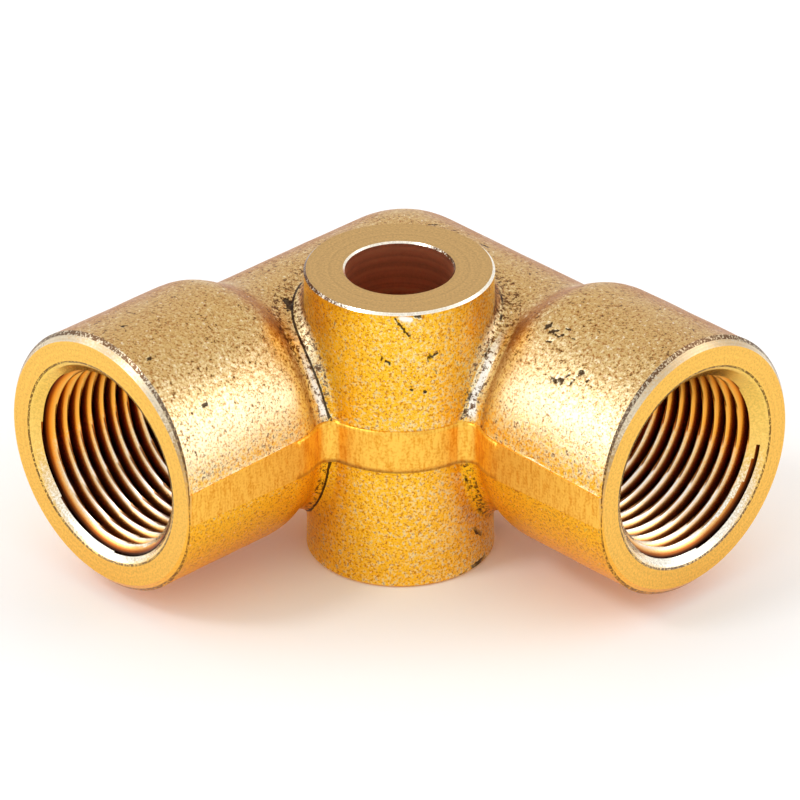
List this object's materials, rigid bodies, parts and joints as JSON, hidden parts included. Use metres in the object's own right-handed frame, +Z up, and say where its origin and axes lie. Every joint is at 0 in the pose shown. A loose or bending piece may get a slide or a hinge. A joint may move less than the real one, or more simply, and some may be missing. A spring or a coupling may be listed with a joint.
{
  "type": "bracketed elbow",
  "caption": "Forged brass elbow at a right angle with a parallel pipe thread inside each port and an upright boss with a through hole in the inner corner.",
  "frame": {"origin": "centre of the bracket hole at the lower seating face of the boss", "axes": "+Z up the bracket hole, +X along the right arm to its port, -Y along the left arm to its port"},
  "size_m": [0.0454, 0.0454, 0.026],
  "materials": {
    "forged_brass": "shot-blasted forged skin, turned bright at the ports and seating faces"
  },
  "bodies": {
    "root": {"elbow_body": "forged_brass"}
  },
  "joints": []
}
